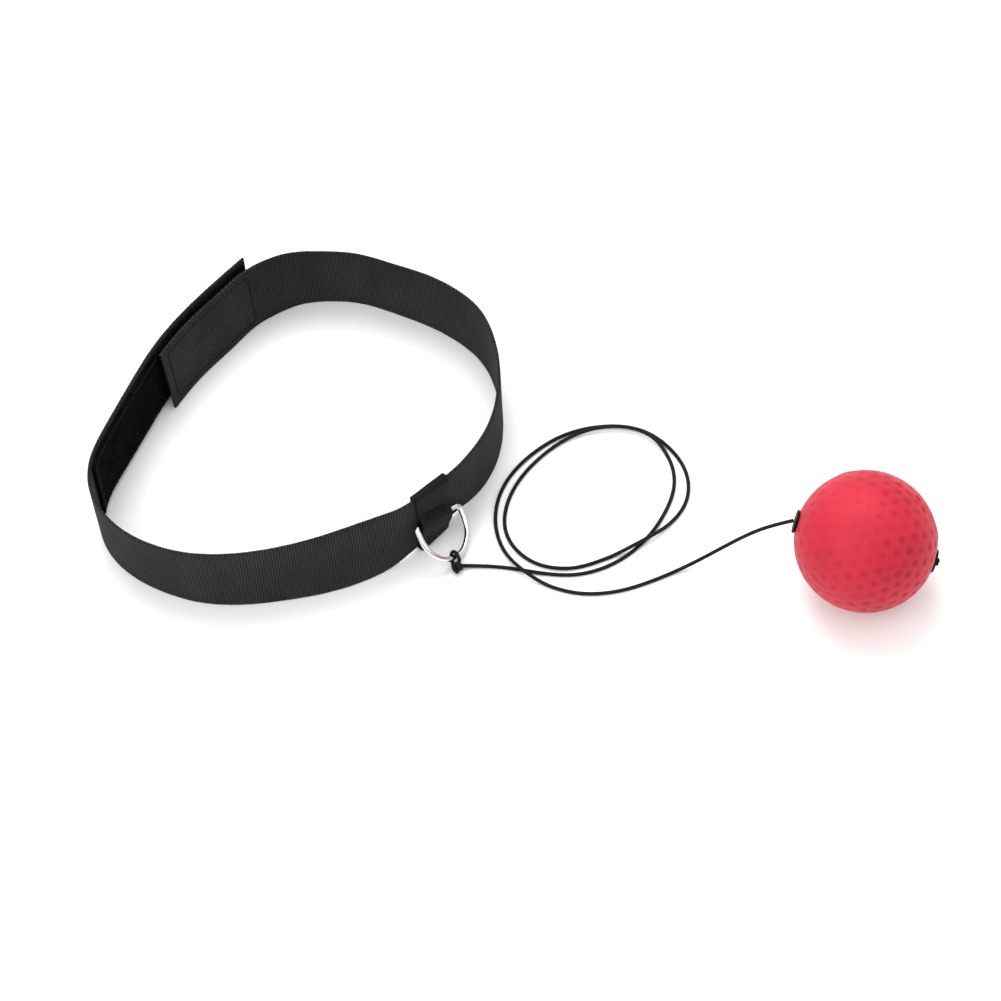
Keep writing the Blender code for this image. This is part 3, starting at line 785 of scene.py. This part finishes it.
def make_band(rail, mats):
    cut = round((rail.root - CUT_BEFORE_HINGE) / RIB_PITCH) * RIB_PITCH
    half = rail.length / 2

    band = ribbed_webbing("strap_webbing", rail, 0.0, cut, mats["webbing"])
    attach(band, "headband")
    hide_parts("headband_strap")

    low, high = rail.reach("loop_patch", 0, half)
    pile = sewn_patch("loop_pile", rail, low, high, pile_relief, mats["pile"], 0.42 * MM)
    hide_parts("loop_patch")
    nap = pile_loops(rail, low, high, mats["pile"])
    sewing = patch_stitches("loop_stitches", rail, low, high, mats["thread"])
    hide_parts("loop_patch_stitching")
    for piece in (pile, nap, sewing):
        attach(piece, "headband")

    flap = ribbed_webbing("strap_hook_end", rail, cut, rail.length, mats["webbing"])
    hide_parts("hook_end_strap")
    low, high = rail.reach("hook_patch", half, rail.length)
    tape_top = np.array([high[0], high[1], high[2] - HOOK_STAND])
    tape = sewn_patch("hook_tape", rail, low, tape_top, tape_relief, mats["hooks"], 0.7 * MM)
    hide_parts("hook_patch")
    rows = hooks(rail, low, high, mats["hooks"])
    sewing = patch_stitches("hook_stitches", rail, low, tape_top, mats["thread"])
    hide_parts("hook_patch_stitching")
    before = rail.place(rail.root - BEND_REACH, STRAP_WIDTH / 2, 0.0)
    after = rail.place(rail.root + BEND_REACH, STRAP_WIDTH / 2, 0.0)
    for piece in (flap, tape, rows, sewing):
        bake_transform(piece)


def tape_relief(along, across):
    """Fine woven rows of the hook tape's backing."""
    return 0.02 * MM * (1 + np.sin(along[:, None] * 3000) * np.sin(across[None] * 3000))


# ---------------------------------------------------------------- keeper and ring

def make_keeper(rail, mats):
    """The folded keeper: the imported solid's shape, softened, with a fine weave."""
    source = frame["nodes"]["ring_keeper"]
    keeper = bpy.data.objects.new("keeper_band", source.data.copy())
    bpy.context.scene.collection.objects.link(keeper)
    for kind, settings in (("WELD", {"merge_threshold": 0.00002}),
                           ("REMESH", {"mode": "VOXEL", "voxel_size": KEEPER_VOXEL,
                                       "use_smooth_shade": True}),
                           ("SMOOTH", {"factor": 0.5, "iterations": 4})):
        modifier = keeper.modifiers.new(kind.lower(), kind)
        for name, value in settings.items():
            setattr(modifier, name, value)
    seen = keeper.evaluated_get(bpy.context.evaluated_depsgraph_get())
    mesh = bpy.data.meshes.new_from_object(seen)
    keeper.modifiers.clear()
    keeper.data = mesh
    points = np.array([tuple(v.co) for v in mesh.vertices])
    normals = np.array([tuple(v.normal) for v in mesh.vertices])
    middle = np.array(JOINTS["ring_swing"]["pos_m"])
    ring_at = rail.locate(middle[None], 0.2, 0.4)[0, 0]
    surface = rail.locate(points, ring_at - KEEPER_REACH, ring_at + KEEPER_REACH)
    ribs = np.abs(np.sin(surface[:, 0] * math.pi / KEEPER_RIB))
    points -= normals * (KEEPER_RIB_DEPTH * (1 - ribs))[:, None]
    mesh.vertices.foreach_set("co", points.ravel())
    corners = np.empty(len(mesh.loops), int)
    mesh.loops.foreach_get("vertex_index", corners)
    while mesh.uv_layers:
        mesh.uv_layers.remove(mesh.uv_layers[0])
    layer = mesh.uv_layers.new(name="surface")
    layer.data.foreach_set("uv", (surface[corners, :2] * CM).ravel())
    mesh.shade_smooth()
    mesh.materials.clear()
    mesh.materials.append(mats["keeper"])
    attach(keeper, "headband")
    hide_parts("ring_keeper")
    for node in ("keeper_stitch_upper", "keeper_stitch_lower"):
        make_keeper_row(rail, node, ring_at, mats)


def make_keeper_row(rail, node, ring_at, mats):
    """One row of stitches across the keeper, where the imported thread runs."""
    found = rail.locate(node_points(node), ring_at - KEEPER_REACH, ring_at + KEEPER_REACH)
    edges = np.linspace(found[:, 0].min(), found[:, 0].max(), 10)
    line = []
    for start, stop in zip(edges[:-1], edges[1:]):
        inside = found[(found[:, 0] >= start - 0.3 * MM) & (found[:, 0] <= stop + 0.3 * MM)]
        line.append(((start + stop) / 2, inside[:, 1].mean(), inside[:, 2].mean()))
    line = even(np.array(line), KEEPER_STITCH_PITCH)
    share = np.linspace(0.09, 0.91, 7)
    paths = []
    for start, stop in zip(line[:-1], line[1:]):
        points = start[None] * (1 - share)[:, None] + stop[None] * share[:, None]
        rise = -0.45 * MM + 0.42 * MM * np.sin(share * math.pi) ** 0.5
        paths.append(rail.place(points[:, 0], points[:, 1], points[:, 2] + rise))
    row = many_tubes(node.replace("stitch", "stitches"), paths, THREAD_R, 6, mats["thread"])
    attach(row, "headband")
    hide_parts(node)


def ring_matrix():
    """The ring's own axes: x along its bar, y towards its bow, z out of its plane."""
    joint = JOINTS["ring_swing"]
    middle = Vector(joint["pos_m"])
    bar = -Vector(joint["axis"]).normalized()
    lean = Vector(node_points("d_ring").mean(0)) - middle
    bow = (lean - bar * lean.dot(bar)).normalized()
    turn = Matrix((bar, bow, bar.cross(bow))).transposed()
    return Matrix.Translation(middle) @ turn.to_4x4()


def ring_outline():
    """The wire's centre line: a straight bar, tight corners, short arms and a round bow."""
    outline = [(x, 0.0) for x in np.linspace(-RING_HALF + RING_CORNER, RING_HALF - RING_CORNER, 30)]
    for turn in np.radians(np.linspace(-90, 0, 12)[1:]):
        outline.append((RING_HALF - RING_CORNER * (1 - math.cos(turn)), RING_CORNER * (1 + math.sin(turn))))
    for turn in np.radians(np.linspace(0, 180, 100)):
        outline.append((RING_HALF * math.cos(turn), RING_ARM + (RING_DEPTH - RING_ARM) * math.sin(turn)))
    for turn in np.radians(np.linspace(180, 270, 12)[:-1]):
        outline.append((-RING_HALF + RING_CORNER * (1 + math.cos(turn)), RING_CORNER * (1 + math.sin(turn))))
    return np.array([(x, y, 0.0) for x, y in outline])


def moved(matrix, points):
    return np.array([tuple(matrix @ Vector(point)) for point in points])


def make_ring(matrix, mats):
    """The wire, closed on itself where its ends are butt-welded inside the keeper."""
    path = moved(matrix, ring_outline())
    points, faces, surface = tube(path, RING_WIRE, 24, closed=True)
    ring = build("ring_wire", points, faces, surface, mats["chrome"])
    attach(ring, "ring")
    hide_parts("d_ring")


# ---------------------------------------------------------------- tether

def braid_radius(path, core):
    """Radius of a round braid: strands laid both ways pass over and under each other."""
    along = lengths(path)[:, None]
    turn = np.linspace(0, 2 * math.pi, BRAID_SIDES, endpoint=False)[None]
    pull = BRAID_STRANDS * 2 * math.pi / BRAID_TURN
    one = np.cos(BRAID_STRANDS * turn - pull * along)
    other = np.cos(BRAID_STRANDS * turn + pull * along)
    over = (1 + one * other) / 2
    relief = np.maximum(np.abs(one) ** 0.5 * over, np.abs(other) ** 0.5 * (1 - over))
    return core * (0.87 + 0.13 * relief)


def braided(name, path, core, mats):
    points, faces, surface = tube(path, braid_radius(path, core), BRAID_SIDES)
    piece = build(name, points, faces, surface, mats["braid"])
    return piece


def make_tether(mats):
    """The free cord, from the tie at the ring to the ball's washer."""
    route = np.array(CORD_ROUTE)
    knots = lengths(route[:, :2])
    dense = spline(knots, route, np.linspace(0, knots[-1], 24 * len(route)))
    dense[:, 2] = np.maximum(dense[:, 2], FLOOR_Z)
    path = even(dense, BRAID_STEP)
    cord = braided("tether_braid", path, CORD_R, mats)
    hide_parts("tether_cord")
    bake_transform(cord)


def make_tie(matrix, mats):
    """The tie at the bow: up over the wire, round it, two wraps about itself, and a short tail."""
    bow = matrix @ Matrix.Translation((0, RING_DEPTH, 0))
    start = tuple(bow.inverted() @ Vector(CORD_ROUTE[0]))
    over = [(-0.9, 4.3, -0.8), (-2.0, 3.6, -0.3), (-1.2, 2.2, -2.2), (-0.6, 0.2, -2.45), (-0.2, -1.8, -1.5),
            (0.0, -2.45, 0.0), (0.1, -1.6, 1.7), (-0.3, 0.3, 2.45), (-1.2, 2.3, 1.9), (-2.2, 3.6, 1.2)]
    wrap_radius = 1.45
    wraps = []
    for turn in np.linspace(0.15, 2.1, 22):
        angle = math.radians(60 - 360 * turn)
        slide = -1.0 - 2.4 * (turn - 0.15) / 1.95
        wraps.append((slide, 4.0 + wrap_radius * math.cos(angle), -1.06 + wrap_radius * math.sin(angle)))
    tail = [(-3.4, 5.4, -1.0), (-3.6, 6.4, -0.8)]
    local = [start] + [tuple(MM * value for value in point) for point in over + wraps + tail]
    path = moved(bow, smooth_path(local, 0.2 * MM))
    path[:, 2] = np.maximum(path[:, 2], FLOOR_Z)
    knot = braided("tie_knot", path, CORD_R, mats)
    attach(knot, "ring")
    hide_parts("tether_knot")


# ---------------------------------------------------------------- ball

def bore_matrix():
    """The ball's own axes: z along its bore, towards the tether."""
    joint = JOINTS["ball_spin"]
    turn = (-Vector(joint["axis"])).to_track_quat("Z", "Y").to_matrix().to_4x4()
    return Matrix.Translation(Vector(joint["pos_m"])) @ turn


def geodesic_points(frequency):
    """Points spread evenly over a sphere: an icosahedron's faces, each cut into small triangles."""
    bm = bmesh.new()
    bmesh.ops.create_icosphere(bm, subdivisions=1, radius=1.0)
    points = []
    for face in bm.faces:
        a, b, c = (np.array(v.co) for v in face.verts)
        for i in range(frequency + 1):
            for j in range(frequency + 1 - i):
                points.append(a * i + b * j + c * (frequency - i - j))
    bm.free()
    return np.unique(unit(np.array(points)).round(5), axis=0)


def ball_profile():
    """Radius and height round the foam's section: the outer skin, then the bore's wall."""
    near = BALL_R - NEAR_FLAT
    far = BALL_R - FAR_FLAT
    first = math.asin(BORE_R / BALL_R)
    turns = np.linspace(first, math.pi - first, 230)
    skin = np.column_stack([BALL_R * np.sin(turns), BALL_R * np.cos(turns)])
    skin[:, 1] = np.clip(skin[:, 1], -far, near)
    wall = np.column_stack([np.full(6, BORE_R), np.linspace(-far, near, 8)[1:-1]])
    return skin, wall


def make_foam(matrix, mats):
    skin, wall = ball_profile()
    profile = np.concatenate([skin, wall])
    turn = np.linspace(0, 2 * math.pi, FOAM_COLUMNS, endpoint=False)
    points = np.stack([profile[:, :1] * np.cos(turn), profile[:, :1] * np.sin(turn),
                       np.broadcast_to(profile[:, 1:], (len(profile), FOAM_COLUMNS))], -1)
    outside = points[:len(skin)].reshape(-1, 3)
    way = unit(outside)
    centres = geodesic_points(6)
    # dimples shallower and their painted shade fainter towards the shallow side
    toward_shallow_side = np.clip(centres @ np.array(matrix.to_3x3().inverted() @ SHALLOW_DIMPLE_SIDE), 0, 1)
    depth = RNG.uniform(0.40, 1.0, len(centres)) * (1 - 0.85 * toward_shallow_side ** 2)
    dimple = np.zeros(len(outside))
    for group in np.array_split(np.arange(len(outside)), 24):
        near = way[group] @ centres.T
        nearest = near.argmax(1)
        away = BALL_R * np.arccos(np.clip(near[np.arange(len(group)), nearest], -1, 1))
        inside = np.clip(1 - (away / DIMPLE_R) ** 3, 0, 1)
        dimple[group] = inside * depth[nearest]
    axis = np.array(matrix.to_3x3().inverted() @ SEAM_AXIS)
    from_seam = BALL_R * np.arccos(np.clip(way @ axis, -1, 1)) - BALL_R * math.acos(SEAM_OFFSET / BALL_R)
    ridge = np.exp(-(from_seam / SEAM_WIDTH) ** 2)
    open_skin = np.clip((np.hypot(outside[:, 0], outside[:, 1]) - WASHER_R - 0.4 * MM) / MM, 0, 1)
    relief = open_skin * (SEAM_HEIGHT * ridge - DIMPLE_DEPTH * dimple * (1 - ridge))
    points[:len(skin)] = (outside + way * relief[:, None]).reshape(len(skin), FOAM_COLUMNS, 3)
    faces = grid_faces(len(profile), FOAM_COLUMNS, closed_rows=True)
    ball = build("ball_foam", moved(matrix, points.reshape(-1, 3)), faces, None, mats["foam"])
    # painted shade and highlight for the material: dimples darker, the seam ridge lighter
    shade = np.zeros(len(ball.data.vertices), np.float32)
    shade[:len(dimple)] = (dimple - 0.7 * ridge) * open_skin
    ball.data.attributes.new("dimple", "FLOAT", "POINT").data.foreach_set("value", shade)
    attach(ball, "ball")
    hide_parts("ball")


def make_washer(name, node, matrix, low, mats):
    """A flat washer with rounded edges, turned about the bore."""
    hole = CORD_R + CLEARANCE
    bevel = WASHER_BEVEL
    profile = []
    for radius, height, start in ((WASHER_R - bevel, low + WASHER_THICK - bevel, 90),
                                  (WASHER_R - bevel, low + bevel, 0),
                                  (hole + bevel, low + bevel, -90),
                                  (hole + bevel, low + WASHER_THICK - bevel, -180)):
        for turn in np.radians(np.linspace(start, start - 90, 6)):
            profile.append((radius + bevel * math.cos(turn), height + bevel * math.sin(turn)))
    profile = np.array(profile)
    turn = np.linspace(0, 2 * math.pi, WASHER_SIDES, endpoint=False)
    points = np.stack([profile[:, :1] * np.cos(turn), profile[:, :1] * np.sin(turn),
                       np.broadcast_to(profile[:, 1:], (len(profile), WASHER_SIDES))], -1).reshape(-1, 3)
    faces = grid_faces(len(profile), WASHER_SIDES, closed_rows=True)
    washer = build(name, moved(matrix, points), faces, None, mats["washer"])
    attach(washer, "ball")
    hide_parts(node)


def make_ball(mats):
    matrix = bore_matrix()
    make_foam(matrix, mats)
    near = BALL_R - NEAR_FLAT + CLEARANCE
    far = -(BALL_R - FAR_FLAT) - CLEARANCE - WASHER_THICK
    make_washer("near_washer", "entry_washer", matrix, near, mats)
    make_washer("end_washer", "far_washer", matrix, far, mats)

    run = moved(matrix, even(np.array([(0, 0, far - 0.2 * MM), (0, 0, near + WASHER_THICK)]), BRAID_STEP))
    inner = braided("bore_braid", run, CORD_R, mats)
    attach(inner, "headband")
    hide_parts("ball_cord")

    turns = np.linspace(0, 2 * math.pi, 120)
    swell = 2 + np.cos(3 * turns)
    size = 0.40 * MM
    knot = np.column_stack([size * swell * np.cos(2 * turns), size * swell * np.sin(2 * turns),
                            0.30 * size * np.sin(3 * turns)])
    knot[:, 2] += far - 0.3 * MM - 0.60 * MM
    points, faces, surface = tube(moved(matrix, knot[:-1]), 0.56 * MM, 14, closed=True)
    stop = build("end_knot", points, faces, surface, mats["braid"])
    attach(stop, "headband")
    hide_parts("stop_knot")


# ---------------------------------------------------------------- scene

make_camera()
materials = make_materials()
make_tether(materials)
ring_axes = ring_matrix()
make_tie(ring_axes, materials)
strap_rail = Rail()
make_band(strap_rail, materials)
make_keeper(strap_rail, materials)
make_ring(ring_axes, materials)
make_ball(materials)
make_studio()
